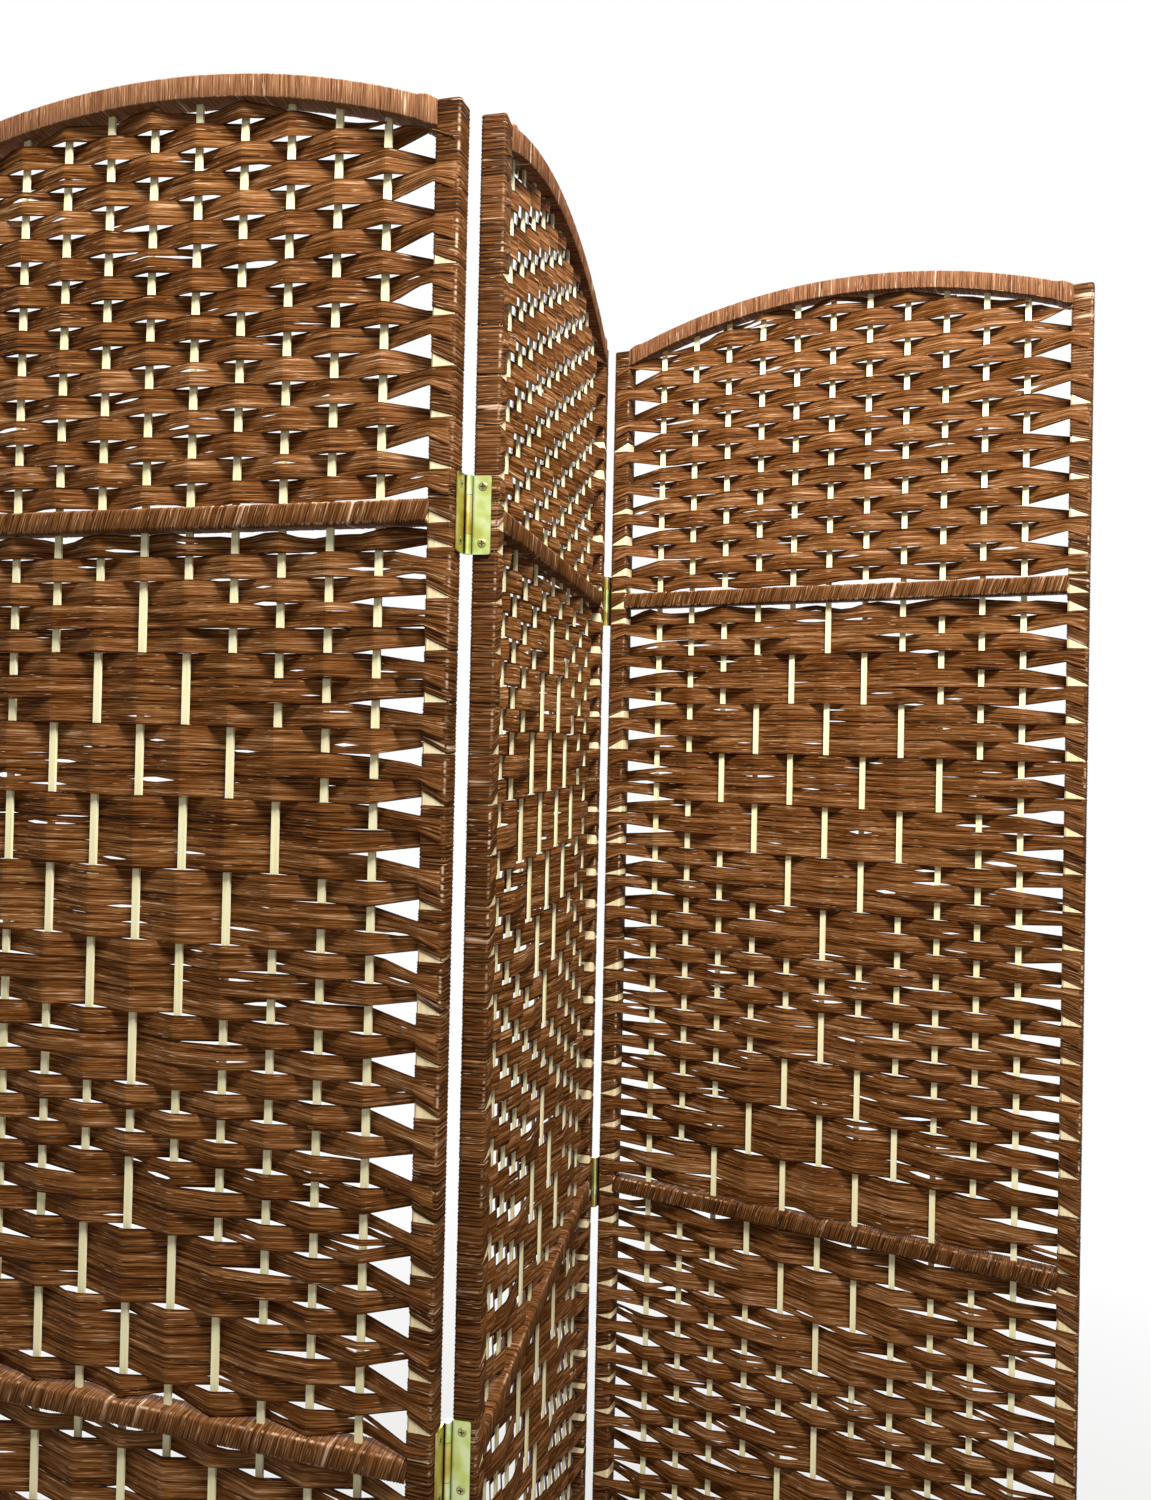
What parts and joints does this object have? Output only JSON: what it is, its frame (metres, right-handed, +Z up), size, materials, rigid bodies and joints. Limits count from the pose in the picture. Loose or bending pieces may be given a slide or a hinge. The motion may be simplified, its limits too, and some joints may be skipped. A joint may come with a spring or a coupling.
{
  "type": "folding screen",
  "caption": "Folding room divider: arched frames wound with brown fibre ribbon, woven ribbon infill over pale stakes, panels joined by edge hinges.",
  "frame": {"origin": "on the floor, under the middle of the standing screen's box", "axes": "+Z up; the picture looks along +Y, so the panels' fronts face -Y as a whole, with +X to the right"},
  "size_m": [0.9526, 0.4774, 1.8],
  "materials": {
    "woven_ribbon": "matt woven paper fibre",
    "wound_ribbon": "matt wound paper fibre",
    "bamboo_stake": "bare planed bamboo",
    "pine": "bare sawn pine",
    "steel_nail": "bright wire nail",
    "yellow_zinc": "yellow passivated zinc plate"
  },
  "bodies": {
    "left_panel": {"left_fold_left_leaves": "yellow_zinc", "left_fold_left_screws": "yellow_zinc", "left_panel_arch_bay_weave": "woven_ribbon", "left_panel_arch_wrap": "wound_ribbon", "left_panel_arched_rail": "pine", "left_panel_bottom_bay_weave": "woven_ribbon", "left_panel_bottom_rail": "pine", "left_panel_frame_nails": "steel_nail", "left_panel_left_stile": "pine", "left_panel_lower_bay_weave": "woven_ribbon", "left_panel_lower_rail": "pine", "left_panel_middle_rail": "pine", "left_panel_rail_wraps": "wound_ribbon", "left_panel_right_stile": "pine", "left_panel_stakes": "bamboo_stake", "left_panel_stile_wraps": "wound_ribbon", "left_panel_upper_bay_weave": "woven_ribbon", "left_panel_upper_rail": "pine"},
    "middle_panel": {"left_fold_pins": "yellow_zinc", "left_fold_right_leaves": "yellow_zinc", "left_fold_right_screws": "yellow_zinc", "middle_panel_arch_bay_weave": "woven_ribbon", "middle_panel_arch_wrap": "wound_ribbon", "middle_panel_arched_rail": "pine", "middle_panel_bottom_bay_weave": "woven_ribbon", "middle_panel_bottom_rail": "pine", "middle_panel_frame_nails": "steel_nail", "middle_panel_left_stile": "pine", "middle_panel_lower_bay_weave": "woven_ribbon", "middle_panel_lower_rail": "pine", "middle_panel_middle_rail": "pine", "middle_panel_rail_wraps": "wound_ribbon", "middle_panel_right_stile": "pine", "middle_panel_stakes": "bamboo_stake", "middle_panel_stile_wraps": "wound_ribbon", "middle_panel_upper_bay_weave": "woven_ribbon", "middle_panel_upper_rail": "pine", "right_fold_left_leaves": "yellow_zinc", "right_fold_left_screws": "yellow_zinc", "right_fold_pins": "yellow_zinc"},
    "right_panel": {"right_fold_right_leaves": "yellow_zinc", "right_fold_right_screws": "yellow_zinc", "right_panel_arch_bay_weave": "woven_ribbon", "right_panel_arch_wrap": "wound_ribbon", "right_panel_arched_rail": "pine", "right_panel_bottom_bay_weave": "woven_ribbon", "right_panel_bottom_rail": "pine", "right_panel_frame_nails": "steel_nail", "right_panel_left_stile": "pine", "right_panel_lower_bay_weave": "woven_ribbon", "right_panel_lower_rail": "pine", "right_panel_middle_rail": "pine", "right_panel_rail_wraps": "wound_ribbon", "right_panel_right_stile": "pine", "right_panel_stakes": "bamboo_stake", "right_panel_stile_wraps": "wound_ribbon", "right_panel_upper_bay_weave": "woven_ribbon", "right_panel_upper_rail": "pine"}
  },
  "joints": [
    {"name": "left_fold", "type": "hinge", "parent": "middle_panel", "child": "left_panel", "pos_m": [-0.03461, -0.22113, 0], "axis": [0, 0, 1], "range_deg": [-85, 95]},
    {"name": "right_fold", "type": "hinge", "parent": "middle_panel", "child": "right_panel", "pos_m": [0.06512, 0.22351, 0], "axis": [0, 0, 1], "range_deg": [-73, 107]}
  ]
}
